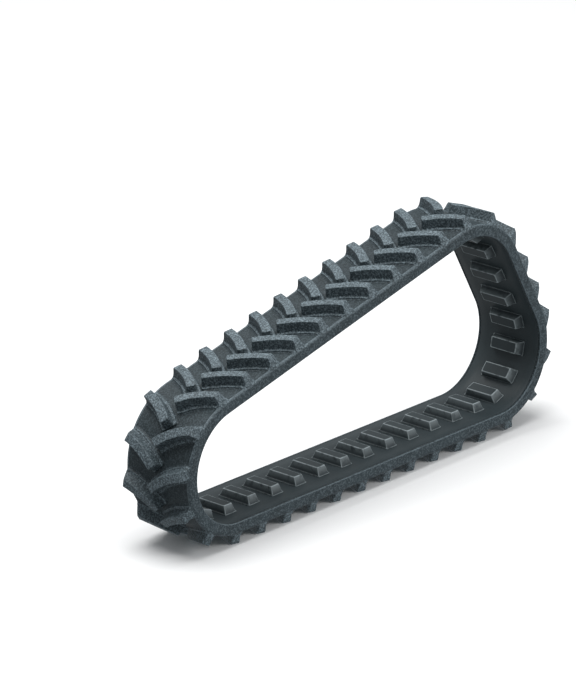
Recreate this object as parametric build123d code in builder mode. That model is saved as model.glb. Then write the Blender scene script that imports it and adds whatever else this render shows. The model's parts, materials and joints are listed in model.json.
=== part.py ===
"""Endless rubber track: a moulded belt with drive bars inside and two staggered rows of tread lugs outside.

Units are mm. X runs from the front idler end to the raised sprocket end, Y across the belt, Z up.
The belt is drawn in the XZ plane as the outline that wraps three wheels. "Offset" is the distance
outwards from the wheel side of the belt. A station is a distance along the steel cord line, whose
length stays the same however the belt bends, counted from where the top run meets the front wheel.
"""
import os
from math import atan2, cos, degrees, hypot, pi, radians, sin, sqrt

from build123d import *

os.makedirs("parts", exist_ok=True)

# The belt's length round its cords, and its width
lug_pitch = 72.0  # along the cords, from one lug to the next in its row
lug_count = 34  # in each row
bar_count = 37  # drive bars, evenly spaced over the same length
belt_width = 160.0

# The wheels the belt wraps, measured to the wheel side of the belt
front_radius = 114.0
rear_radius = 118.0
sprocket_radius = 127.0
sprocket_ahead = 91.0  # sprocket axle in front of the rear wheel's axle
sprocket_height = 263.0  # sprocket axle above the bottom run's wheel side

# Layers, from the wheel side outwards
inner_cover_thick = 8.0
ply_thick = 1.0
cushion_thick = 2.5  # one gum sheet on each side of the cords
outer_cover_thick = 8.0

# Edge strips close the layers on both sides
strip_width = 6.0
strip_rise = 0.6  # the strip stands this far above the tread face and shows as a thin raised line
strip_outer_round = 3.0
strip_inner_round = 1.5

# Reinforcement
cord_radius = 1.5
cord_spacing = 6.0
cords_per_side = 8
cord_edge_gap = 6.0  # outermost cord's centre to the edge strip
rod_radius = 2.5

# Drive bars on the wheel side
bar_base_width = 28.0  # along the belt
bar_top_width = 23.0
bar_length_share = 0.48  # of the belt's width
bar_end_slope = 6.5  # each end leans in by this much from base to top
bar_height = 17.0
bar_edge = 1.0
bar_foot_height = 2.0
bar_foot_margin = 1.5
bar_phase = 55.0  # station of the first bar

# Tread lugs: a bar bent to an arc, with its outer end sloping down to the belt's edge
lug_height = 24.0
lug_width = 20.0
lug_inner_angle = 45.0  # between the lug and straight across the belt, at the middle of the belt
lug_outer_angle = 16.0  # the same at the lug's outer end
lug_crest_share = 0.87  # how far out the crest reaches, as a share of half the belt's width
lug_overlap = 4.0  # how far the middle of the lug's inner end passes the middle of the belt
lug_end_height = 1.0  # what is left of the lug at the belt's edge, above the strip
ledge_height = 4.0  # the low step along the lug's foot
ledge_margin = 6.0  # how far the ledge stands out on each side
lug_phase = 48.0  # station of the first right-hand lug's inner end; the left row is half a pitch behind
root_depth = 8.0  # how far a lug is drawn into the belt before it is trimmed to the belt's surface
crest_spare = 5.0  # how far a lug is drawn past its crest before it is trimmed to follow the belt
axle_accuracy = 1e-9  # how closely the front axle's place is worked out

half_width = belt_width / 2
core_half = half_width - strip_width  # half the width between the edge strips
cord_line = inner_cover_thick + ply_thick + cushion_thick
belt_thick = cord_line + cushion_thick + ply_thick + outer_cover_thick
crest_offset = belt_thick + lug_height
rod_offset = inner_cover_thick / 2
bar_length = belt_width * bar_length_share
loop_length = lug_pitch * lug_count
bar_pitch = loop_length / bar_count


def tangent_normal(a, b):
    """Outward normal of the straight run that leaves wheel a and meets wheel b."""
    ax, az, ar = a
    bx, bz, br = b
    dx, dz = bx - ax, bz - az
    gap = hypot(dx, dz)
    along = (ar - br) / gap
    side = sqrt(1 - along * along)
    ux, uz = dx / gap, dz / gap
    return along * ux + side * uz, along * uz - side * ux


def loop_runs(front_x, offset):
    """The loop's arcs and straights in order, each as (kind, data, length), starting on the front wheel."""
    wheels = [
        (front_x, front_radius, front_radius),
        (0.0, rear_radius, rear_radius),
        (-sprocket_ahead, sprocket_height, sprocket_radius),
    ]
    normals = [tangent_normal(wheels[i], wheels[(i + 1) % 3]) for i in range(3)]
    runs = []
    for i, (cx, cz, r) in enumerate(wheels):
        start = atan2(normals[i - 1][1], normals[i - 1][0])
        turn = (atan2(normals[i][1], normals[i][0]) - start) % (2 * pi)
        runs.append(("arc", (cx, cz, r + offset, start, turn), (r + offset) * turn))
        nx, nz = normals[i]
        bx, bz, br = wheels[(i + 1) % 3]
        p = (cx + (r + offset) * nx, cz + (r + offset) * nz)
        q = (bx + (br + offset) * nx, bz + (br + offset) * nz)
        runs.append(("line", (p, q, (nx, nz)), hypot(q[0] - p[0], q[1] - p[1])))
    return runs


def tensioned_front_x():
    """Where the front axle sits, so that the cord line is exactly as long as the belt."""
    near, far = -(front_radius + rear_radius), -loop_length / 2
    while near - far > axle_accuracy:
        middle = (near + far) / 2
        if sum(run[2] for run in loop_runs(middle, cord_line)) < loop_length:
            near = middle
        else:
            far = middle
    return near


front_x = tensioned_front_x()
cord_runs = loop_runs(front_x, cord_line)
run_names = ["front_wrap", "bottom_run", "rear_curve", "rear_rise", "sprocket_wrap", "top_run"]


def station_at(distance):
    """Run number, plane at this station: origin on the wheel side, x along the belt, z outwards."""
    distance = distance % loop_length
    for number, (kind, data, length) in enumerate(cord_runs):
        if distance <= length or number == len(cord_runs) - 1:
            break
        distance -= length
    if kind == "arc":
        cx, cz, r, start, turn = data
        angle = start + distance / r
        nx, nz = cos(angle), sin(angle)
        x, z = cx + (r - cord_line) * nx, cz + (r - cord_line) * nz
    else:
        (px, pz), (qx, qz), (nx, nz) = data
        share = distance / length
        x = px + (qx - px) * share - cord_line * nx
        z = pz + (qz - pz) * share - cord_line * nz
    return number, Plane(origin=(x, 0, z), x_dir=(-nz, 0, nx), z_dir=(nx, 0, nz))


def draw_loop(offset):
    """Lines and arcs of the belt's outline at this offset, for the BuildLine in use."""
    for kind, data, _ in loop_runs(front_x, offset):
        if kind == "arc":
            cx, cz, r, start, turn = data
            CenterArc((cx, cz), r, degrees(start), degrees(turn))
        else:
            Line(data[0], data[1])


def loop_solid(inner, outer, y_from, y_to):
    """Belt layer between two offsets, or everything inside the outer one if inner is None."""
    with BuildPart() as layer:
        with BuildSketch(Plane.XZ.offset(-y_from)):
            with BuildLine():
                draw_loop(outer)
            make_face()
            if inner is not None:
                with BuildLine():
                    draw_loop(inner)
                make_face(mode=Mode.SUBTRACT)
        extrude(amount=-(y_to - y_from))
    return layer.part


# Stations of the repeated pieces
bar_places = [station_at(bar_phase + bar_pitch * k)[1] for k in range(bar_count)]

# Transverse rods, one under each drive bar, as long as the space between the edge strips
with BuildPart() as stiffener_rods:
    for place in bar_places:
        centre = place.origin + place.z_dir * rod_offset
        with Locations(Location(centre, (90, 0, 0))):
            Cylinder(rod_radius, 2 * core_half)

with BuildPart() as inner_cover:
    add(loop_solid(0, inner_cover_thick, -core_half, core_half))
    add(stiffener_rods.part, mode=Mode.SUBTRACT)

with BuildPart() as inner_ply:
    add(loop_solid(inner_cover_thick, inner_cover_thick + ply_thick, -core_half, core_half))

# Steel cords: rings of round section that lie half in each cushion
with BuildPart() as one_cord:
    with BuildLine(Plane.XZ) as cord_path:
        draw_loop(cord_line)
    start_plane = station_at(0)[1]
    with BuildSketch(
        Plane(start_plane.origin + start_plane.z_dir * cord_line, x_dir=(0, 1, 0), z_dir=start_plane.x_dir)
    ):
        Circle(cord_radius)
    sweep(path=cord_path.wires()[0])

outermost_cord = core_half - cord_edge_gap
cord_rows = [outermost_cord - cord_spacing * k for k in range(cords_per_side)]
with BuildPart() as steel_cords_left:
    with Locations([(0, y, 0) for y in cord_rows]):
        add(one_cord.part)
with BuildPart() as steel_cords_right:
    with Locations([(0, -y, 0) for y in cord_rows]):
        add(one_cord.part)

with BuildPart() as inner_cushion:
    add(loop_solid(cord_line - cushion_thick, cord_line, -core_half, core_half))
    add(steel_cords_left.part, mode=Mode.SUBTRACT)
    add(steel_cords_right.part, mode=Mode.SUBTRACT)
with BuildPart() as outer_cushion:
    add(loop_solid(cord_line, cord_line + cushion_thick, -core_half, core_half))
    add(steel_cords_left.part, mode=Mode.SUBTRACT)
    add(steel_cords_right.part, mode=Mode.SUBTRACT)

outer_ply_from = cord_line + cushion_thick
with BuildPart() as outer_ply:
    add(loop_solid(outer_ply_from, outer_ply_from + ply_thick, -core_half, core_half))
with BuildPart() as outer_cover:
    add(loop_solid(outer_ply_from + ply_thick, belt_thick, -core_half, core_half))


def edge_strip(side):
    """Side wall of the belt, with its outer corners rounded; side is 1 for left and -1 for right."""
    y_from, y_to = sorted((side * core_half, side * half_width))
    with BuildPart() as strip:
        add(loop_solid(0, belt_thick + strip_rise, y_from, y_to))
        face = strip.faces().filter_by(Axis.Y).sort_by(Axis.Y)[-1 if side > 0 else 0]
        fillet(face.outer_wire().edges(), strip_outer_round)
        face = strip.faces().filter_by(Axis.Y).sort_by(Axis.Y)[-1 if side > 0 else 0]
        fillet(face.inner_wires()[0].edges(), strip_inner_round)
    return strip.part


with BuildPart() as edge_strip_left:
    add(edge_strip(1))
with BuildPart() as edge_strip_right:
    add(edge_strip(-1))

# One drive bar, drawn at a station with its base on the belt's wheel side
with BuildPart() as bar_shape:
    with BuildSketch(Plane.XY):
        Rectangle(bar_base_width, bar_length)
    with BuildSketch(Plane.XY.offset(-bar_height)):
        Rectangle(bar_top_width, bar_length - 2 * bar_end_slope)
    loft(ruled=True)
    chamfer(bar_shape.faces().sort_by(Axis.Z)[0].edges(), bar_edge)
    with Locations((0, 0, -bar_foot_height / 2)):
        Box(bar_base_width + 2 * bar_foot_margin, bar_length + 2 * bar_foot_margin, bar_foot_height)

belt_wall = loop_solid(0, belt_thick, -core_half, core_half)

# One right-hand lug, drawn at its middle station with z = 0 on the tread face.
# Its sides are arcs about one centre, so that its direction turns from the inner to the outer angle.
inner_turn, outer_turn = radians(lug_inner_angle), radians(lug_outer_angle)
crest_reach = lug_crest_share * half_width
lug_arc_radius = (crest_reach + lug_overlap) / (sin(inner_turn) - sin(outer_turn))
lug_sweep_back = lug_arc_radius * (cos(outer_turn) - cos(inner_turn))
inner_end_x = lug_sweep_back / 2
arc_centre_x = inner_end_x + lug_arc_radius * cos(inner_turn)
arc_centre_y = lug_arc_radius * sin(inner_turn) - lug_overlap
foot_reach = half_width - strip_outer_round


def arc_point(radius, turn):
    """Point of the lug's outline on the arc of this radius, where the lug points at this angle."""
    return arc_centre_x - radius * cos(turn), arc_centre_y - radius * sin(turn)


def draw_lug(margin, reach):
    """Outline of the lug's plan, grown sideways by a margin, with its outer end straight out to this reach."""
    back_radius = lug_arc_radius + lug_width / 2 + margin
    lead_radius = lug_arc_radius - lug_width / 2 - margin
    middle = (inner_turn + outer_turn) / 2
    back_in, back_out = arc_point(back_radius, inner_turn), arc_point(back_radius, outer_turn)
    lead_in, lead_out = arc_point(lead_radius, inner_turn), arc_point(lead_radius, outer_turn)
    ThreePointArc(back_in, arc_point(back_radius, middle), back_out)
    Polyline(back_out, (back_out[0], reach), (lead_out[0], reach), lead_out)
    ThreePointArc(lead_out, arc_point(lead_radius, middle), lead_in)
    Line(lead_in, back_in)


back_corner = arc_point(lug_arc_radius + lug_width / 2, outer_turn)
lead_corner = arc_point(lug_arc_radius - lug_width / 2, outer_turn)
end_top = strip_rise + lug_end_height

# What is cut away above the sloping outer end
with BuildPart() as slope_cut:
    drawn_top = lug_height + crest_spare
    for x, crest_y in (back_corner, lead_corner):
        lean = (foot_reach - crest_y) / (lug_height - end_top)
        top_y = crest_y - crest_spare * lean
        with BuildSketch(Plane(origin=(x, 0, 0), x_dir=(0, 1, 0), z_dir=(1, 0, 0))):
            Polygon((top_y, drawn_top), (foot_reach, end_top), (foot_reach, drawn_top), align=None)
    loft(ruled=True)

with BuildPart() as lug_shape:
    with BuildSketch(Plane.XY.offset(-root_depth)):
        with BuildLine():
            draw_lug(0, foot_reach)
        make_face()
    extrude(amount=root_depth + drawn_top)
    add(slope_cut.part, mode=Mode.SUBTRACT)
    with BuildSketch(Plane.XY.offset(-root_depth)):
        with BuildLine():
            draw_lug(ledge_margin, core_half)
        make_face()
    extrude(amount=root_depth + ledge_height)

with BuildPart() as left_lug_shape:
    add(mirror(lug_shape.part, about=Plane.XZ, mode=Mode.PRIVATE))

# The outline of the lugs' crests, and the belt without its lugs, which trim each lug
crest_outline = loop_solid(None, crest_offset, -half_width, half_width)
with BuildPart() as belt_body:
    add(loop_solid(None, belt_thick, -core_half, core_half))
    for side in (-1, 1):
        y_from, y_to = sorted((side * core_half, side * half_width))
        add(loop_solid(None, belt_thick + strip_rise, y_from, y_to))


def lug_group(run_number, shape, phase):
    """All the lugs of one row whose middle is on this run of the belt."""
    places = []
    for k in range(lug_count):
        number, place = station_at(phase - inner_end_x + lug_pitch * k)
        if number == run_number:
            places.append(Plane(place.origin + place.z_dir * belt_thick, x_dir=place.x_dir, z_dir=place.z_dir))
    with BuildPart() as group:
        for place in places:
            with Locations(place.location):
                add(shape)
        add(crest_outline, mode=Mode.INTERSECT)
        add(belt_body.part, mode=Mode.SUBTRACT)
    return group.part


pieces = {
    "inner_cover": inner_cover.part,
    "stiffener_rods": stiffener_rods.part,
    "inner_ply": inner_ply.part,
    "inner_cushion": inner_cushion.part,
    "steel_cords_left": steel_cords_left.part,
    "steel_cords_right": steel_cords_right.part,
    "outer_cushion": outer_cushion.part,
    "outer_ply": outer_ply.part,
    "outer_cover": outer_cover.part,
    "edge_strip_left": edge_strip_left.part,
    "edge_strip_right": edge_strip_right.part,
}
for k, place in enumerate(bar_places):
    with BuildPart() as drive_bar:
        with Locations(place.location):
            add(bar_shape.part)
        add(belt_wall, mode=Mode.SUBTRACT)
    pieces[f"drive_bar_{k + 1:02d}"] = drive_bar.part
for number, run_name in enumerate(run_names):
    # Local y points to the right-hand side of the belt all the way round
    pieces[f"tread_lugs_{run_name}_right"] = lug_group(number, lug_shape.part, lug_phase)
    pieces[f"tread_lugs_{run_name}_left"] = lug_group(number, left_lug_shape.part, lug_phase - lug_pitch / 2)

# The origin is under the middle of the whole track, on the ground
boxes = [pieces[name].bounding_box() for name in pieces]
middle_x = (min(box.min.X for box in boxes) + max(box.max.X for box in boxes)) / 2
ground_z = min(box.min.Z for box in boxes)
for name, solid in pieces.items():
    placed = solid.moved(Location((-middle_x, 0, -ground_z)))
    placed.label = name
    export_step(placed, f"parts/{name}.step")
print("front axle", round(front_x, 2), "middle", round(middle_x, 3), "ground", round(ground_z, 3), len(pieces))
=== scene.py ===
import json

import bpy
import numpy as np
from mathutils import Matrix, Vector


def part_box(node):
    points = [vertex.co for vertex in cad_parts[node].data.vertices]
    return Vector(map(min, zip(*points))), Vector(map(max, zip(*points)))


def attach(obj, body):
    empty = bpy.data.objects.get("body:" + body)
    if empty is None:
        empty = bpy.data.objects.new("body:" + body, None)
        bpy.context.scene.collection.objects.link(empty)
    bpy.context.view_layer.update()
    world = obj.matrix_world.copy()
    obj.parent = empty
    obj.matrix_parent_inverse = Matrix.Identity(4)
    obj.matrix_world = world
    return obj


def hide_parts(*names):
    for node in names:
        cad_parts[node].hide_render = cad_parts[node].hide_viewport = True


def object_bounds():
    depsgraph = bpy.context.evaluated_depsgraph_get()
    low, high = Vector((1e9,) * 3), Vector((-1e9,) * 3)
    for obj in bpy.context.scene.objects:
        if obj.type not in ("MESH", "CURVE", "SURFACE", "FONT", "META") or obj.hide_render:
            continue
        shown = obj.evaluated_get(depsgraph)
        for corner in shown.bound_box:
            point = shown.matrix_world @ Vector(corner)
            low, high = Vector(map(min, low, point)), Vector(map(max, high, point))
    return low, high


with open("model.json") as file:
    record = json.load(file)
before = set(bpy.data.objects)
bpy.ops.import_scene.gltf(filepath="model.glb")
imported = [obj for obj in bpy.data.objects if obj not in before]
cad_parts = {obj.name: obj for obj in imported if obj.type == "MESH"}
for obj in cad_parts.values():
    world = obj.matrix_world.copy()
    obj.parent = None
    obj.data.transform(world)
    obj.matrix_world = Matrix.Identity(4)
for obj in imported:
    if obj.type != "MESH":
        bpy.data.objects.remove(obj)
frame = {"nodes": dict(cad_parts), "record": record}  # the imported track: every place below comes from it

cadLow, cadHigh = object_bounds()  # the frame's own box, before any new piece
mm = 0.001
axleSeats = ("front_idler_seat", "rear_roller_seat", "sprocket_seat")


cameraSetup = {
    "aim": (-0.1628, -0.0169, 0.3208),  # metres
    "azimuth": -48.194,  # degrees round from the right-hand side
    "elevation": 20.042,
    "distance": 10.235,
    "lens": 281.1,
    "shift": (-0.0084, 0.0012),
    "clip": (0.1, 200.0),
}


def makeCamera(setup):
    # The camera stands back from the aim point along (sin a cos e, -cos a cos e, sin e)
    azimuth, elevation = np.radians(setup["azimuth"]), np.radians(setup["elevation"])
    back = Vector((
        np.sin(azimuth) * np.cos(elevation),
        -np.cos(azimuth) * np.cos(elevation),
        np.sin(elevation),
    ))
    data = bpy.data.cameras.new("studioCamera")
    data.lens = setup["lens"]
    data.shift_x, data.shift_y = setup["shift"]
    data.clip_start, data.clip_end = setup["clip"]
    camera = bpy.data.objects.new("studioCamera", data)
    camera.location = Vector(setup["aim"]) + back * setup["distance"]
    camera.rotation_mode = "QUATERNION"
    camera.rotation_quaternion = (-back).to_track_quat("-Z", "Y")
    bpy.context.scene.collection.objects.link(camera)
    bpy.context.scene.camera = camera


makeCamera(cameraSetup)
print("camera set")


def wheelOf(seatName):
    # Axle x, axle z and radius of the wheel on this seat
    seat = next(m for m in frame["record"]["mounts"] if m["name"] == seatName)
    return seat["pos_m"][0], seat["pos_m"][2], seat["dims"]["r_mm"] * mm


wheels = np.array([wheelOf(name) for name in axleSeats])
toNext = np.roll(wheels, -1, axis=0) - wheels
axleGap = np.hypot(toNext[:, 0], toNext[:, 1])
lean = -toNext[:, 2] / axleGap  # how much each straight run leans because its wheels differ in size
upright = np.sqrt(1 - lean**2)
leaveAngle = np.arctan2(lean * toNext[:, 1] - upright * toNext[:, 0],
                        lean * toNext[:, 0] + upright * toNext[:, 1])
meetAngle = np.roll(leaveAngle, 1)
wrapTurn = (leaveAngle - meetAngle) % (2 * np.pi)
straightLength = axleGap * upright
wheelSide = wheels[1, 1] - wheels[1, 2]  # height of the bottom run's inner face
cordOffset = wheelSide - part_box("inner_cushion")[0].z
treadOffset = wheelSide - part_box("outer_cover")[0].z
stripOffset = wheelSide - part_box("edge_strip_left")[0].z
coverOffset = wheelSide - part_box("inner_cover")[0].z
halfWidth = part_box("edge_strip_left")[1].y
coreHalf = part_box("outer_cover")[1].y


def runLengths(offset):
    # Wrap i is (radius + offset) x turn; the straight runs are as long at every offset
    offset = np.asarray(offset, float)
    lengths = np.empty(offset.shape + (6,))
    lengths[..., 0::2] = (wheels[:, 2] + offset[..., None]) * wrapTurn
    lengths[..., 1::2] = straightLength
    return lengths


def loopPoint(distance, offset):
    # On a wrap: axle + (radius + offset) x normal, the normal turning by distance / (radius + offset).
    # On a straight: the same with a fixed normal, plus the distance along the run.
    ends = np.cumsum(runLengths(offset), axis=-1)
    distance = distance % ends[..., -1]
    run = (distance[..., None] >= ends[..., :5]).sum(axis=-1)
    before = np.take_along_axis(ends, np.maximum(run - 1, 0)[..., None], -1)[..., 0]
    local = distance - np.where(run > 0, before, 0)
    wheel, onWrap = run // 2, run % 2 == 0
    radius = wheels[wheel, 2] + offset
    angle = np.where(onWrap, meetAngle[wheel] + local / radius, leaveAngle[wheel])
    ahead = np.where(onWrap, 0, local)
    x = wheels[wheel, 0] + radius * np.cos(angle) - ahead * np.sin(angle)
    z = wheels[wheel, 1] + radius * np.sin(angle) + ahead * np.cos(angle)
    return x, z


cordLengths = runLengths(cordOffset)
cordEnds = np.cumsum(cordLengths)
loopLength = cordEnds[-1]


def runAt(station):
    return int(np.searchsorted(cordEnds, station % loopLength))


def onBelt(station, along, offset):
    # A station on the cord line, taken to the same share of its run at each offset, then so far along
    run = runAt(station)
    shareLeft = (cordEnds[run] - station % loopLength) / cordLengths[run]
    lengths = runLengths(offset)
    start = np.cumsum(lengths, axis=-1)[..., run] - lengths[..., run] * shareLeft
    return loopPoint(start + along, offset)


print(f"loop {loopLength:.4f} m")


def quarter(steps):
    # Angles from 0 to a quarter turn
    return np.linspace(0, np.pi / 2, steps + 1)


def smoothStep(value):
    value = np.clip(value, 0, 1)
    return value * value * (3 - 2 * value)


def softMin(a, b, blend):
    # The lower of two heights, with their crossing rounded over the blend distance
    mix = np.clip(0.5 + 0.5 * (b - a) / blend, 0, 1)
    return b + (a - b) * mix - blend * mix * (1 - mix)


def gridFaces(rows, columns, closeRows):
    # Quads between neighbouring rows; columns always close, rows close on request
    row = np.arange(rows if closeRows else rows - 1)[:, None]
    column = np.arange(columns)[None, :]
    after, beside = (row + 1) % rows, (column + 1) % columns
    corners = [row * columns + column, row * columns + beside,
               after * columns + beside, after * columns + column]
    return np.stack(np.broadcast_arrays(*corners), axis=-1).reshape(-1, 4)


def ladderFaces(first, pairs, count):
    # Rungs between outline points that mirror each other close a cap of this many points
    step = np.arange(pairs - 1)
    return first + np.stack([step, step + 1, count - 2 - step, count - 1 - step], axis=-1)


def closedFaces(rings, count):
    # A stack of rings with a ladder over the last and one under the first
    return np.concatenate([
        gridFaces(rings, count, False),
        ladderFaces((rings - 1) * count, count // 2, count),
        ladderFaces(0, count // 2, count)[:, ::-1],
    ])


def signedVolume(points, quads):
    # Each quad as two triangles, each with the origin a tetrahedron of a . (b x c) / 6
    a, b, c, d = (points[quads[:, k]] for k in range(4))
    return (a * (np.cross(b, c) + np.cross(c, d))).sum() / 6


def makePiece(name, points, quads, finish, nodes, marks):
    # Closed shell with its faces outwards, riding on the body and standing for its nodes
    if signedVolume(points, quads) < 0:
        quads = quads[:, ::-1]
    mesh = bpy.data.meshes.new(name)
    mesh.from_pydata(points.tolist(), [], quads.tolist())
    mesh.polygons.foreach_set("use_smooth", np.ones(len(quads), bool))
    for markName, values in marks.items():
        mark = mesh.attributes.new(markName, "FLOAT", "POINT")
        mark.data.foreach_set("value", np.asarray(values, np.float32))
    mesh.materials.append(finish)
    piece = bpy.data.objects.new(name, mesh)
    bpy.context.scene.collection.objects.link(piece)
    shading = piece.modifiers.new("evenShading", "WEIGHTED_NORMAL")  # flat faces stay flat beside rounds
    shading.keep_sharp = False
    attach(piece, "root")
    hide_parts(*nodes)


def addNode(tree, kind, inputs=None, **settings):
    # A node with its settings, and each input given a value or joined to a socket
    node = tree.nodes.new(kind)
    for key, value in settings.items():
        setattr(node, key, value)
    for key, value in (inputs or {}).items():
        if isinstance(value, bpy.types.NodeSocket):
            tree.links.new(value, node.inputs[key])
        else:
            node.inputs[key].default_value = value
    return node


def startGroup(name, inputs, outputs):
    group = bpy.data.node_groups.new(name, "ShaderNodeTree")
    for socketName, kind, value in inputs:
        socket = group.interface.new_socket(socketName, in_out="INPUT", socket_type=kind)
        if value is not None:
            socket.default_value = value
    for socketName, kind in outputs:
        group.interface.new_socket(socketName, in_out="OUTPUT", socket_type=kind)
    return group, addNode(group, "NodeGroupInput"), addNode(group, "NodeGroupOutput")


def mathNode(tree, operation, first, second=0.0, clamp=False):
    node = addNode(tree, "ShaderNodeMath", {0: first, 1: second}, operation=operation, use_clamp=clamp)
    return node.outputs[0]


def rangeNode(tree, value, low, high, outLow=0.0, outHigh=1.0):
    node = addNode(tree, "ShaderNodeMapRange", {"Value": value, "From Min": low, "From Max": high,
                                                "To Min": outLow, "To Max": outHigh})
    return node.outputs[0]


grainShape = {
    "detail": 2.0, "fineRoughness": 0.65,
    "coarseShare": 0.035, "coarseDetail": 3.0,  # the clouds' scale against the grain's
    "pitShare": 1.3,  # the pits' scale against the grain's
    "threshold": 0.7, "coverageReach": 0.3, "softness": 0.2,  # where noise turns to specks
    "cloudRange": (0.3, 0.7),
    "fineHeight": 0.7, "pitHeight": 0.3,
}
rimWearAndHighlightShape = {"patchScale": 90.0, "detail": 4.0, "patchRange": (0.25, 0.5)}


def makeRubberGrain(values):
    # Sandy mould skin: bright specks where fine noise peaks, and pits between them
    group, given, result = startGroup(
        "rubberGrain",
        [("Vector", "NodeSocketVector", None), ("Grain Scale", "NodeSocketFloat", 400.0),
         ("Coverage", "NodeSocketFloat", 0.5)],
        [("Speck", "NodeSocketFloat"), ("Cloud", "NodeSocketFloat"), ("Height", "NodeSocketFloat")],
    )

    def times(first, second):
        return mathNode(group, "MULTIPLY", first, second)

    vector, scale = given.outputs["Vector"], given.outputs["Grain Scale"]
    fine = addNode(group, "ShaderNodeTexNoise", {
        "Vector": vector, "Scale": scale,
        "Detail": values["detail"], "Roughness": values["fineRoughness"],
    })
    coarse = addNode(group, "ShaderNodeTexNoise", {
        "Vector": vector, "Scale": times(scale, values["coarseShare"]), "Detail": values["coarseDetail"],
    })
    pits = addNode(group, "ShaderNodeTexVoronoi", {
        "Vector": vector, "Scale": times(scale, values["pitShare"]),
    })
    low = mathNode(group, "SUBTRACT", values["threshold"],
                   times(given.outputs["Coverage"], values["coverageReach"]))
    speck = rangeNode(group, fine.outputs[0], low, mathNode(group, "ADD", low, values["softness"]))
    height = mathNode(group, "ADD", times(fine.outputs[0], values["fineHeight"]),
                      times(pits.outputs["Distance"], values["pitHeight"]))
    group.links.new(speck, result.inputs["Speck"])
    group.links.new(rangeNode(group, coarse.outputs[0], *values["cloudRange"]), result.inputs["Cloud"])
    group.links.new(height, result.inputs["Height"])
    return group


def makeRimWearAndHighlight(values):
    # Scuffed edges with a painted edge highlight: the marked rim broken up by noise
    group, given, result = startGroup(
        "rimWearAndHighlight",
        [("Vector", "NodeSocketVector", None), ("Rim", "NodeSocketFloat", 0.0),
         ("Amount", "NodeSocketFloat", 0.5)],
        [("Mask", "NodeSocketFloat")],
    )
    patches = addNode(group, "ShaderNodeTexNoise", {
        "Vector": given.outputs["Vector"], "Scale": values["patchScale"], "Detail": values["detail"],
    })
    broken = rangeNode(group, patches.outputs[0], *values["patchRange"])
    marked = mathNode(group, "MULTIPLY", given.outputs["Rim"], broken)
    wornAndHighlit = mathNode(group, "MULTIPLY", marked, given.outputs["Amount"], clamp=True)
    group.links.new(wornAndHighlit, result.inputs["Mask"])
    return group


rubberGrain = makeRubberGrain(grainShape)
rimWearAndHighlight = makeRimWearAndHighlight(rimWearAndHighlightShape)
middle = (cadLow + cadHigh) / 2


def startFinish(name):
    # A material whose pattern is centred on the track
    material = bpy.data.materials.new(name)
    material.use_nodes = True
    tree = material.node_tree
    tree.nodes.clear()
    output = addNode(tree, "ShaderNodeOutputMaterial")
    shader = addNode(tree, "ShaderNodeBsdfPrincipled")
    tree.links.new(shader.outputs[0], output.inputs["Surface"])
    place = addNode(tree, "ShaderNodeTexCoord")
    centred = addNode(tree, "ShaderNodeMapping", {"Vector": place.outputs["Object"], "Location": -middle})
    return material, tree, shader, centred.outputs[0]


def mixColors(tree, factor, first, second):
    node = addNode(tree, "ShaderNodeMix", {"Factor": factor}, data_type="RGBA")
    for socket, value in ((node.inputs[6], first), (node.inputs[7], second)):
        if isinstance(value, bpy.types.NodeSocket):
            tree.links.new(value, socket)
        else:
            socket.default_value = (*value, 1.0)
    return node.outputs[2]


def makeRubber(name, look):
    material, tree, shader, vector = startFinish(name)
    rim = addNode(tree, "ShaderNodeAttribute", attribute_name="rim").outputs["Fac"]
    rubbedAndLit = addNode(tree, "ShaderNodeAttribute", attribute_name="rubbedAndLit").outputs["Fac"]
    grain = addNode(tree, "ShaderNodeGroup", node_tree=rubberGrain)
    tree.links.new(vector, grain.inputs["Vector"])
    grain.inputs["Grain Scale"].default_value = look["grainScale"]
    grain.inputs["Coverage"].default_value = look["coverage"]
    wearAndHighlight = addNode(tree, "ShaderNodeGroup", node_tree=rimWearAndHighlight)
    tree.links.new(vector, wearAndHighlight.inputs["Vector"])
    tree.links.new(rim, wearAndHighlight.inputs["Rim"])
    wearAndHighlight.inputs["Amount"].default_value = look["rimWearAndHighlight"]

    # Clouded base, lifted where it's rubbed and painted lighter as if lit from above, then the specks, then
    # the worn rim with its painted edge highlight
    color = mixColors(tree, grain.outputs["Cloud"], look["dark"], look["base"])
    color = mixColors(tree, mathNode(tree, "MULTIPLY", rubbedAndLit, look["rubbedAndLitLift"]), color, look["speck"])
    share = rangeNode(tree, rubbedAndLit, 0, 1, look["speckShare"], look["rubbedAndLitShare"])
    color = mixColors(tree, mathNode(tree, "MULTIPLY", grain.outputs["Speck"], share), color, look["speck"])
    color = mixColors(tree, wearAndHighlight.outputs["Mask"], color, look["speck"])
    tree.links.new(color, shader.inputs["Base Color"])
    roughness = rangeNode(tree, grain.outputs["Cloud"], 0, 1, *look["roughness"])
    tree.links.new(roughness, shader.inputs["Roughness"])
    bump = addNode(tree, "ShaderNodeBump", {
        "Height": grain.outputs["Height"],
        "Distance": look["bumpDepth"] * mm, "Strength": look["bumpStrength"],
    })
    tree.links.new(bump.outputs[0], shader.inputs["Normal"])
    shader.inputs["Specular IOR Level"].default_value = look["specular"]
    return material


# The rubbed lift and share lighten the lug crests, ledges, walls and ramps: wear plus painted top light
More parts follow.
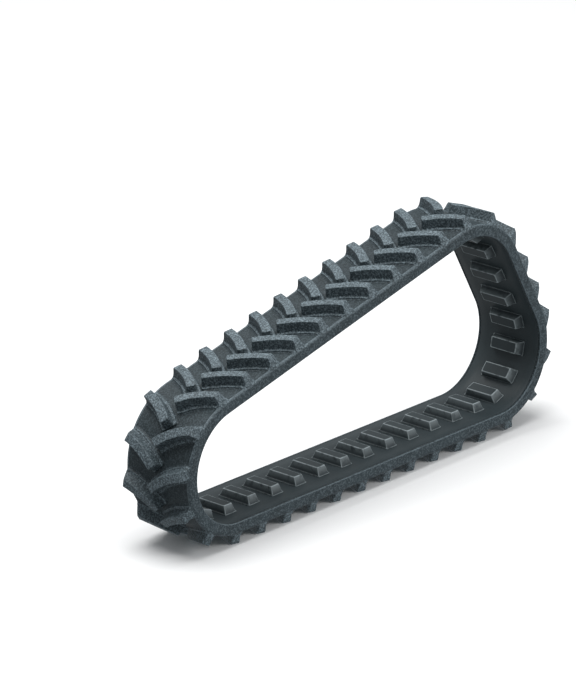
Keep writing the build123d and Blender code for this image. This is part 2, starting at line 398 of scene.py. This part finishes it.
treadLook = {
    "dark": (0.012, 0.02, 0.024), "base": (0.021, 0.034, 0.04), "speck": (0.22, 0.28, 0.315),
    "grainScale": 300.0, "coverage": 0.85, "speckShare": 0.17, "rubbedAndLitShare": 0.8, "rubbedAndLitLift": 0.12,
    "rimWearAndHighlight": 0.2, "roughness": (0.56, 0.66), "bumpDepth": 1.2, "bumpStrength": 1.0, "specular": 0.35,
}
edgeLook = {
    "dark": (0.022, 0.033, 0.039), "base": (0.036, 0.053, 0.062), "speck": (0.22, 0.28, 0.315),
    "grainScale": 330.0, "coverage": 0.8, "speckShare": 0.4, "rubbedAndLitShare": 0.6, "rubbedAndLitLift": 0.2,
    "rimWearAndHighlight": 0.7, "roughness": (0.52, 0.62), "bumpDepth": 0.8, "bumpStrength": 0.9, "specular": 0.35,
}
innerLook = {
    "dark": (0.032, 0.044, 0.049), "base": (0.042, 0.056, 0.062), "speck": (0.4, 0.46, 0.48),
    "grainScale": 700.0, "coverage": 0.3, "speckShare": 0.06, "rubbedAndLitShare": 0.15, "rubbedAndLitLift": 0.05,
    "rimWearAndHighlight": 0.9, "roughness": (0.44, 0.54), "bumpDepth": 0.12, "bumpStrength": 0.3, "specular": 0.3,
}
treadRubber = makeRubber("treadRubber", treadLook)
edgeRubber = makeRubber("edgeRubber", edgeLook)
innerRubber = makeRubber("innerRubber", innerLook)


hiddenLooks = {
    "gum": {"colors": ((0.012, 0.012, 0.013), (0.03, 0.03, 0.032)), "scale": 160.0, "detail": 3.0,
            "roughness": 0.75},
    "fabric": {"colors": ((0.035, 0.03, 0.024), (0.09, 0.078, 0.06)), "threads": 5200.0,
               "bumpDepth": 0.2, "roughness": 0.8},
    "steel": {"colors": ((0.3, 0.25, 0.16), (0.62, 0.54, 0.38)), "scale": 700.0, "distortion": 1.5,
              "bumpDepth": 0.1, "roughness": 0.38},
    "rod": {"colors": ((0.4, 0.38, 0.24), (0.68, 0.67, 0.52)), "stretch": (1500.0, 25.0, 1500.0),
            "detail": 3.0, "roughness": 0.4},
}


def finishLayer(material, shader, look, pattern):
    # Colour, dents and roughness of a layer inside the belt, all led by one pattern
    tree = material.node_tree
    tree.links.new(mixColors(tree, pattern, *look["colors"]), shader.inputs["Base Color"])
    if "bumpDepth" in look:
        bump = addNode(tree, "ShaderNodeBump", {"Height": pattern, "Distance": look["bumpDepth"] * mm})
        tree.links.new(bump.outputs[0], shader.inputs["Normal"])
    shader.inputs["Roughness"].default_value = look["roughness"]
    return material


def makeCushionGum(look):
    # Matt black gum with a faint mottling from calendering
    material, tree, shader, vector = startFinish("cushionGum")
    mottling = addNode(tree, "ShaderNodeTexNoise", {
        "Vector": vector, "Scale": look["scale"], "Detail": look["detail"],
    })
    return finishLayer(material, shader, look, mottling.outputs[0])


def makePlyFabric(look):
    # Square weave: the higher of two thread waves, across and along
    material, tree, shader, vector = startFinish("plyFabric")
    split = addNode(tree, "ShaderNodeSeparateXYZ", {"Vector": vector})
    threads = [mathNode(tree, "SINE", mathNode(tree, "MULTIPLY", split.outputs[axis], look["threads"]))
               for axis in ("X", "Y")]
    return finishLayer(material, shader, look, rangeNode(tree, mathNode(tree, "MAXIMUM", *threads), -1, 1))


def makeCordSteel(look):
    # Brass-coated strand: fine slanted bands of wire
    material, tree, shader, vector = startFinish("cordSteel")
    bands = addNode(tree, "ShaderNodeTexWave", {
        "Vector": vector, "Scale": look["scale"], "Distortion": look["distortion"],
    }, bands_direction="DIAGONAL")
    shader.inputs["Metallic"].default_value = 1.0
    return finishLayer(material, shader, look, bands.outputs["Fac"])


def makeRodComposite(look):
    # Pultruded glass fibre: long pale streaks that run across the belt
    material, tree, shader, vector = startFinish("rodComposite")
    stretched = addNode(tree, "ShaderNodeMapping", {"Vector": vector, "Scale": look["stretch"]})
    fibres = addNode(tree, "ShaderNodeTexNoise", {
        "Vector": stretched.outputs[0], "Scale": 1.0, "Detail": look["detail"],
    })
    return finishLayer(material, shader, look, fibres.outputs[0])


cushionGum = makeCushionGum(hiddenLooks["gum"])
plyFabric = makePlyFabric(hiddenLooks["fabric"])
cordSteel = makeCordSteel(hiddenLooks["steel"])
rodComposite = makeRodComposite(hiddenLooks["rod"])
hiddenLayers = {
    "stiffener_rods": rodComposite,
    "inner_ply": plyFabric, "outer_ply": plyFabric,
    "inner_cushion": cushionGum, "outer_cushion": cushionGum,
    "steel_cords_left": cordSteel, "steel_cords_right": cordSteel,
}
for nodeName, finish in hiddenLayers.items():
    for materialSlot in frame["nodes"][nodeName].material_slots:
        materialSlot.material = finish
print("finishes made")


beltBand = {
    "wrapStep": 2.0,  # degrees between rows on a wrap
    "straightRows": 12,
    "facePoints": 9,  # across the tread's face and the wheel side
    "treadCove": (2.5, 0.5),  # the tread's face curves up to meet the strips: width and rise in mm
    "stripOuterRound": 4.6, "stripInnerRound": 1.8, "stripTopRound": 0.7,
    # Scuffs and a painted edge highlight round the wheel side's corner, the outer corner and the top edge
    # beside the tread
    "stripRim": ((0, 0.3, 0.6, 0.6, 0.3, 0), (0, 0, 0.1, 0.2, 0.2, 0.3), (1, 1, 1, 1, 0.5, 0), (0,)),
}


def bandStations(values):
    # Cord-line stations, close together on the wraps
    stations, start = [], 0.0
    for run, end in enumerate(cordEnds):
        wrapRows = int(np.ceil(np.degrees(wrapTurn[run // 2]) / values["wrapStep"]))
        rows = values["straightRows"] if run % 2 else wrapRows
        stations.append(np.linspace(start, end, rows, endpoint=False))
        start = end
    return np.concatenate(stations)


def carryBand(profile):
    # Each profile point (y, offset) is carried round the loop at its own offset
    stations = bandStations(beltBand)
    across, offset = profile[:, 0], profile[:, 1]
    places = np.array([onBelt(station, 0.0, offset) for station in stations])
    x, z = places[:, 0], places[:, 1]
    points = np.stack([x, np.broadcast_to(across, x.shape), z], axis=-1).reshape(-1, 3)
    return points, gridFaces(len(stations), len(profile), True)


def roundCorner(centre, radius, start, steps=5):
    # Points of a quarter circle about the centre, from this angle in degrees
    turns = np.radians(start) + quarter(steps)
    return np.stack([centre[0] + radius * np.cos(turns), centre[1] + radius * np.sin(turns)], axis=1)


def treadProfile(values):
    width, rise = (v * mm for v in values["treadCove"])
    turn = quarter(5)
    rightCove = np.stack([
        coreHalf - width * (1 - np.sin(turn)), treadOffset + rise * (1 - np.cos(turn)),
    ], 1)
    leftCove = rightCove[::-1] * (-1, 1)
    face = np.linspace(-coreHalf + width, coreHalf - width, values["facePoints"])[1:-1]
    flat = np.stack([face, np.full(len(face), treadOffset)], 1)
    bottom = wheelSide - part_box("outer_ply")[0].z
    return np.concatenate([leftCove, flat, rightCove, [(coreHalf, bottom), (-coreHalf, bottom)]])


def innerProfile(values):
    face = np.linspace(-coreHalf, coreHalf, values["facePoints"])
    inside = np.stack([face, np.zeros(len(face))], 1)
    outside = np.stack([face[::-1], np.full(len(face), coverOffset)], 1)
    return np.concatenate([inside, outside])


def stripProfile(values, side):
    outer, inner, top = (values[k] * mm for k in ("stripOuterRound", "stripInnerRound", "stripTopRound"))
    corners = [
        roundCorner((halfWidth - inner, inner), inner, 270),
        roundCorner((halfWidth - outer, stripOffset - outer), outer, 0),
        roundCorner((coreHalf + top, stripOffset - top), top, 90),
        [(coreHalf, 0.0)],
    ]
    return np.concatenate(corners) * (side, 1)


def makeBand(name, profile, finish, nodeName, rim=None):
    points, faces = carryBand(profile)
    rim = np.zeros(len(profile)) if rim is None else np.concatenate(rim)
    makePiece(name, points, faces, finish, [nodeName],
              {"rim": np.tile(rim, len(points) // len(profile))})


makeBand("tread_cover", treadProfile(beltBand), treadRubber, "outer_cover")
makeBand("wheel_side_cover", innerProfile(beltBand), innerRubber, "inner_cover")
for side, sign in (("left", 1), ("right", -1)):
    makeBand(f"side_band_{side}", stripProfile(beltBand, sign), edgeRubber,
             f"edge_strip_{side}", beltBand["stripRim"])
print("belt bands made")


lug = {
    "count": 34,  # in each row
    "height": 24.0, "width": 20.0,  # mm
    "innerAngle": 45.0, "outerAngle": 16.0,  # degrees from straight across the belt
    "overlap": 4.0,  # the inner end passes the belt's middle by this much
    "crestReach": 69.6, "footReach": 78.2,  # where the crest and the sloping foot end
    "endTop": 0.4,
    "footTurn": 7.0,  # the foot straightens out over this length
    "footMargin": 0.5,  # and reaches this far past its end
    "innerCorner": 4.5, "outerCorner": 3.2,
    "wallTop": -0.9, "wallFoot": 0.9,  # the walls lean in from foot to crest
    "crestRound": 1.3,
    "ledgeHeight": 4.0, "ledgeMargin": 6.0, "ledgeRound": 0.9, "ledgeCove": 1.8,
    "footCove": 3.5,  # the ledge sweeps out to the belt over this width
    "ledgeEnd": (69.0, 75.0),  # the ledge dies away between these distances from the middle
    "ledgeLift": 1.0,  # it starts to fall from this far above its own height
    "ledgeFade": (1.0, 4.0),  # and only at this distance out from the wall
    "tipMargin": 1.2,  # the ledge stops this far past the inner end
    "kneeBlend": 1.3, "kneeClear": 0.5,  # the ramp is rubbed and painted lighter, as if lit from above, from this far below the crest
    "sunk": 2.5, "shallow": 0.8,  # how deep the skirt and the run-outs go into the belt
    "rimMarks": ((0.6, 0.8, 0.3), (0.1, 0.8, 1.0, 0.3)),  # scuffs and painted highlight on the ledge's and the crest's round
    "rubbedAndLitMarks": ((0.0, 0.3), (0.8, 1, 1), (0.9, 0.5), (0.5, 0.7, 1, 1)),  # rubbed wear and painted top light on the cove, ledge, wall, crest
    "phase": 48.0,  # station of the first right-hand lug's inner end
}
lugSides = {"alongSteps": 44, "cornerSteps": 4, "endDivide": 3, "wideSteps": 5, "tightSteps": 3}
lineGrid = {"before": 20.0, "after": 40.0, "step": 0.1}  # mm of centre line past the two ends of the crest


def lugOutline(length, values, steps):
    # Rounded rectangle about the centre line: points and outward normals, one side then the other
    reach = values["width"] / 2
    inner, outer = values["innerCorner"], values["outerCorner"]
    turns = quarter(steps["cornerSteps"])
    innerNormal = np.stack([-np.cos(turns), np.sin(turns)], 1)
    outerNormal = np.stack([np.sin(turns), np.cos(turns)], 1)
    along = np.linspace(inner, length - outer, steps["alongSteps"] + 1)[1:-1]
    points = np.concatenate([
        [(0.0, (reach - inner) / steps["endDivide"])],
        (inner, reach - inner) + inner * innerNormal,
        np.stack([along, np.full(len(along), reach)], 1),
        (length - outer, reach - outer) + outer * outerNormal,
        [(length, (reach - outer) / steps["endDivide"])],
    ])
    normals = np.concatenate([
        [(-1.0, 0.0)], innerNormal, np.tile((0.0, 1.0), (len(along), 1)), outerNormal, [(1.0, 0.0)],
    ])
    return tuple(np.concatenate([half, half[::-1] * (1, -1)]) for half in (points, normals))


def lugRings(values, steps):
    # Distance out, height, rim mark (scuffs and painted highlight) and rubbed mark (wear and painted top
    # light) of each ring, from inside the belt to the crest
    margin, cove, ledge = values["ledgeMargin"], values["footCove"], values["ledgeHeight"]
    edge, root, crest = values["ledgeRound"], values["ledgeCove"], values["crestRound"]
    top, foot, height = values["wallTop"], values["wallFoot"], values["height"]
    ledgeRim, crestRim = values["rimMarks"]
    coveRubLit, ledgeRubLit, wallRubLit, crestRubLit = values["rubbedAndLitMarks"]
    wide, tight = quarter(steps["wideSteps"]), quarter(steps["tightSteps"])
    ledgeTurn = tight[1:]  # its first ring is the cove's last
    plain = np.zeros(len(wide))
    rings = [
        ([margin + cove], [-values["sunk"]], [0.0], [0.0]),
        (margin + cove * (1 - np.sin(wide)), (ledge - edge) * (1 - np.cos(wide)),
         plain, np.linspace(*coveRubLit, len(wide))),
        (margin - edge * (1 - np.cos(ledgeTurn)), ledge - edge + edge * np.sin(ledgeTurn),
         ledgeRim, ledgeRubLit),
        (foot + root * (1 - np.sin(wide)), ledge + root * (1 - np.cos(wide)),
         plain, np.linspace(*wallRubLit, len(wide))),
        (top - crest * (1 - np.cos(tight)), height - crest + crest * np.sin(tight),
         crestRim, crestRubLit),
    ]
    return tuple(np.concatenate([ring[k] for ring in rings]) for k in range(4))


def centreLine(values, grid):
    # The heading falls evenly from the inner to the outer angle along the crest, then to straight across.
    # The line is the sum of (-sin, cos) of the heading.
    inner, outer = np.radians(values["innerAngle"]), np.radians(values["outerAngle"])
    radius = (values["crestReach"] + values["overlap"]) / (np.sin(inner) - np.sin(outer))
    crestLength = radius * (inner - outer)
    along = np.arange(-grid["before"], crestLength + grid["after"], grid["step"])
    heading = np.where(along < crestLength, inner - along / radius,
                       outer * (1 - smoothStep((along - crestLength) / values["footTurn"])))
    innerX = radius * (np.cos(outer) - np.cos(inner)) / 2
    x = np.cumsum(-np.sin(heading)) * grid["step"]
    y = np.cumsum(np.cos(heading)) * grid["step"]
    x += innerX - np.interp(0, along, x)
    y -= np.interp(0, along, y) + values["overlap"]
    return {"along": along, "heading": heading, "x": x, "y": y, "innerX": innerX,
            "crestLength": crestLength, "footLength": np.interp(values["footReach"], y, along)}


def bendPlan(plan, line):
    # Distance along the centre line, then off it at right angles along (cos, sin) of the heading
    along, beside = plan[..., 0], plan[..., 1]
    heading, x, y = (np.interp(along, line["along"], line[name]) for name in ("heading", "x", "y"))
    return x + beside * np.cos(heading), y + beside * np.sin(heading)


def makeLugShape(values, steps, line):
    outline, normal = lugOutline(line["footLength"], values, steps)
    out, height, rim, rubbedAndLit = lugRings(values, steps)
    out, height = out[:, None], height[:, None]
    spread = out[..., None] * normal
    plan = outline + spread

    # The two ends hardly grow from ring to ring, so the ledge runs along the sides only
    tip = values["tipMargin"]
    pastFoot = values["footMargin"] * np.tanh(np.maximum(spread[..., 0], 0))
    pastTip = tip * np.tanh(np.maximum(-spread[..., 0], 0) / tip)
    plan[..., 0] = np.clip(plan[..., 0], -pastTip, line["footLength"] + pastFoot)
    x, y = bendPlan(plan, line)

    # The ramp and the dying ledge set the most that each ring's height may be
    slope = (values["height"] - values["endTop"]) / (line["footLength"] - line["crestLength"])
    ramp = values["height"] - slope * (plan[..., 0] - line["crestLength"])
    (endFrom, endTo), (fadeFrom, fadeTo) = values["ledgeEnd"], values["ledgeFade"]
    ledgeStart = values["ledgeHeight"] + values["ledgeLift"]
    ledgeRamp = ledgeStart * (1 - smoothStep((y - endFrom) / (endTo - endFrom)))
    limit = ramp + (np.minimum(ledgeRamp, ramp) - ramp) * smoothStep((out - fadeFrom) / (fadeTo - fadeFrom))
    z = np.maximum(softMin(height, limit, values["kneeBlend"]), -values["shallow"])
    z = np.where(height < 0, height, z)

    # The ramp is marked rubbed as well, which paints it lighter as if lit from above
    onRamp = (limit < height - values["kneeClear"]) & (out <= values["wallFoot"])
    count = len(outline)
    marks = {"rim": np.repeat(rim, count), "rubbedAndLit": np.maximum(rubbedAndLit[:, None], onRamp).ravel()}
    shape = np.stack([x, y, z], axis=-1).reshape(-1, 3) * mm
    return shape, closedFaces(len(out), count), marks


lugLine = centreLine(lug, lineGrid)
lugShape, lugFaces, lugMarks = makeLugShape(lug, lugSides, lugLine)
lugPitch = loopLength / lug["count"]


def makeLugRow(runNumber, runName, side):
    # All the lugs of one row whose middle is on this run; the left row is half a pitch behind
    sign, behind = {"left": (1, lugPitch / 2), "right": (-1, 0)}[side]
    first = (lug["phase"] - lugLine["innerX"]) * mm - behind
    stations = [first + lugPitch * k for k in range(lug["count"])]
    stations = [station for station in stations if runAt(station) == runNumber]
    placed = []
    for station in stations:
        x, z = onBelt(station, lugShape[:, 0], treadOffset + lugShape[:, 2])
        placed.append(np.stack([x, sign * lugShape[:, 1], z], axis=1))
    faces = np.concatenate([lugFaces + len(lugShape) * k for k in range(len(stations))])
    marks = {name: np.tile(values, len(stations)) for name, values in lugMarks.items()}
    makePiece(f"lugs_{runName}_{side}", np.concatenate(placed), faces, treadRubber,
              [f"tread_lugs_{runName}_{side}"], marks)


runNames = ("front_wrap", "bottom_run", "rear_curve", "rear_rise", "sprocket_wrap", "top_run")
for runNumber, runName in enumerate(runNames):
    for side in ("left", "right"):
        makeLugRow(runNumber, runName, side)
print(f"tread lugs made, {len(lugFaces)} faces each")


bar = {
    "baseWidth": 28.0, "baseLength": 76.8,  # mm, along and across the belt
    "topWidth": 23.0, "topLength": 63.8,
    "height": 17.0,
    "corner": 2.2, "edgeRound": 1.3, "rootCove": 1.6,
    "flangeMargin": 1.5, "flangeHeight": 2.0, "flangeRound": 0.7,
    "paleEdgeWidth": 0.9,  # the pale edge, wear and painted highlight, runs this far onto the top
    # The rim marks are edge scuffs with a painted highlight
    "flangeRim": (0.4, 1.0, 1.0, 1.0), "rootRim": (0.6, 0.0, 0.0, 0.0), "topRim": (0.4, 0.9, 1.0, 0.9),
    "cornerRim": 0.7,  # on the upright corners
    "sunk": 3.0,
    "phase": 55.0,  # station of the first bar
}


def barRings(values):
    # Half sizes, height and rim mark (scuffs and painted highlight) of each ring, from inside the belt to
    # the bar's top
    margin, flange, edge = values["flangeMargin"], values["flangeHeight"], values["flangeRound"]
    root, bevel, height = values["rootCove"], values["edgeRound"], values["height"]
    turn = quarter(3)
    grow = np.concatenate([
        [margin], margin - edge * (1 - np.cos(turn)), root * (1 - np.sin(turn)),
        -bevel * (1 - np.cos(turn)), [-bevel - values["paleEdgeWidth"]],
    ])
    rise = np.concatenate([
        [-values["sunk"]], flange - edge + edge * np.sin(turn), flange + root * (1 - np.cos(turn)),
        height - bevel + bevel * np.sin(turn), [height],
    ])
    share = np.clip((rise - flange) / (height - flange), 0, 1)
    halfAcross = values["baseWidth"] / 2 + grow - share * (values["baseWidth"] - values["topWidth"]) / 2
    halfAlong = values["baseLength"] / 2 + grow - share * (values["baseLength"] - values["topLength"]) / 2
    rim = np.concatenate([[0.0], values["flangeRim"], values["rootRim"], values["topRim"], [0.0]])
    return halfAcross, halfAlong, rise, rim


def makeBarShape(values):
    # Rounded rectangles, each ring with its own half sizes, closed by ladders at both ends
    halfAcross, halfAlong, rise, rim = barRings(values)
    turns, corner = quarter(4), values["corner"]
    firstX, firstY = -np.cos(turns), np.sin(turns)
    rows = []
    for a, b in zip(halfAcross, halfAlong):
        left = np.stack([-(a - corner) + corner * firstX, (b - corner) + corner * firstY], 1)
        right = left[::-1] * (-1, 1)
        side = (b - corner) / 3  # one point a third of the way up each long side of the ring
        half = np.concatenate([[(-a, side)], left, right, [(a, side)]])
        rows.append(np.concatenate([half, half[::-1] * (1, -1)]))
    plan = np.array(rows)
    rings, count = plan.shape[:2]
    points = np.concatenate([plan, np.broadcast_to(-rise[:, None, None], (rings, count, 1))], axis=-1)

    # The upright corners get the scuffs and painted highlight too, from the flange to the top
    cornerMark = np.sin(np.linspace(0, np.pi, len(turns)))
    upright = np.tile(np.concatenate([[0.0], cornerMark, cornerMark, [0.0]]), 2)
    ring = np.arange(rings)[:, None]
    standing = (ring > 0) & (ring < rings - 1)
    rimMarks = np.maximum(rim[:, None], values["cornerRim"] * standing * upright)
    return points.reshape(-1, 3) * mm, closedFaces(rings, count), rimMarks.ravel()


barShape, barFaces, barRim = makeBarShape(bar)
barCount = sum(name.startswith("drive_bar") for name in frame["nodes"])
barPitch = loopLength / barCount


def makeDriveBar(number):
    # The bar stands square on the belt at its own station
    station = bar["phase"] * mm + barPitch * number
    baseX, baseZ = onBelt(station, np.zeros(1), np.zeros(1))
    outX, outZ = onBelt(station, np.zeros(1), np.array([treadOffset]))
    normalX, normalZ = (outX - baseX) / treadOffset, (outZ - baseZ) / treadOffset
    x = baseX - barShape[:, 0] * normalZ + barShape[:, 2] * normalX
    z = baseZ + barShape[:, 0] * normalX + barShape[:, 2] * normalZ
    name = f"{number + 1:02d}"
    points = np.stack([x, -barShape[:, 1], z], axis=1)
    makePiece(f"bar_{name}", points, barFaces, innerRubber,
              [f"drive_bar_{name}"], {"rim": barRim})


for number in range(barCount):
    makeDriveBar(number)
print("drive bars made")


studio = {
    "floorSize": 9.0, "floorColors": ((0.8865, 0.8865, 0.8865), (0.9, 0.9, 0.9)), "floorScale": 1.5,
    "floorRoughness": 0.95, "floorSpecular": 0.1,
    "skyColor": (0.95, 0.98, 1.0), "skyStrength": 0.4, "backdropStrength": 1.2,
    "overhead": {"size": 6.0, "place": (-0.4, 0.9, 6.0), "aim": (0.0, 0.0, 0.2), "power": 430.0},
    "side": {"size": 2.5, "place": (1.8, -4.0, 2.4), "aim": (0.0, 0.0, 0.25), "power": 90.0},
}


def makeFloor(values):
    half = values["floorSize"] / 2
    mesh = bpy.data.meshes.new("floor")
    corners = [(-half, -half, 0), (half, -half, 0), (half, half, 0), (-half, half, 0)]
    mesh.from_pydata(corners, [], [(0, 1, 2, 3)])
    material, tree, shader, vector = startFinish("paleFloor")
    shade = addNode(tree, "ShaderNodeTexNoise",
                    {"Vector": vector, "Scale": values["floorScale"], "Detail": 2.0})
    tree.links.new(mixColors(tree, shade.outputs[0], *values["floorColors"]), shader.inputs["Base Color"])
    shader.inputs["Roughness"].default_value = values["floorRoughness"]
    shader.inputs["Specular IOR Level"].default_value = values["floorSpecular"]
    mesh.materials.append(material)
    floor = bpy.data.objects.new("floor", mesh)
    bpy.context.scene.collection.objects.link(floor)
    floor.visible_diffuse = floor.visible_glossy = False  # it catches the shadow but throws no light back


def makeLight(name, values):
    data = bpy.data.lights.new(name, "AREA")
    data.shape, data.size, data.energy = "DISK", values["size"], values["power"]
    light = bpy.data.objects.new(name, data)
    light.location = values["place"]
    light.rotation_mode = "QUATERNION"
    heading = Vector(values["aim"]) - Vector(values["place"])
    light.rotation_quaternion = heading.to_track_quat("-Z", "Y")
    bpy.context.scene.collection.objects.link(light)


def makeSky(values):
    world = bpy.data.worlds.new("studioSky")
    bpy.context.scene.world = world
    world.use_nodes = True
    background = world.node_tree.nodes["Background"]
    background.inputs["Color"].default_value = (*values["skyColor"], 1.0)
    path = addNode(world.node_tree, "ShaderNodeLightPath")
    strength = rangeNode(world.node_tree, path.outputs["Is Camera Ray"], 0, 1,
                         values["skyStrength"], values["backdropStrength"])
    world.node_tree.links.new(strength, background.inputs["Strength"])


makeFloor(studio)
makeLight("overhead", studio["overhead"])
makeLight("side", studio["side"])
makeSky(studio)
bpy.context.scene.view_settings.view_transform = "Standard"
print("studio set")
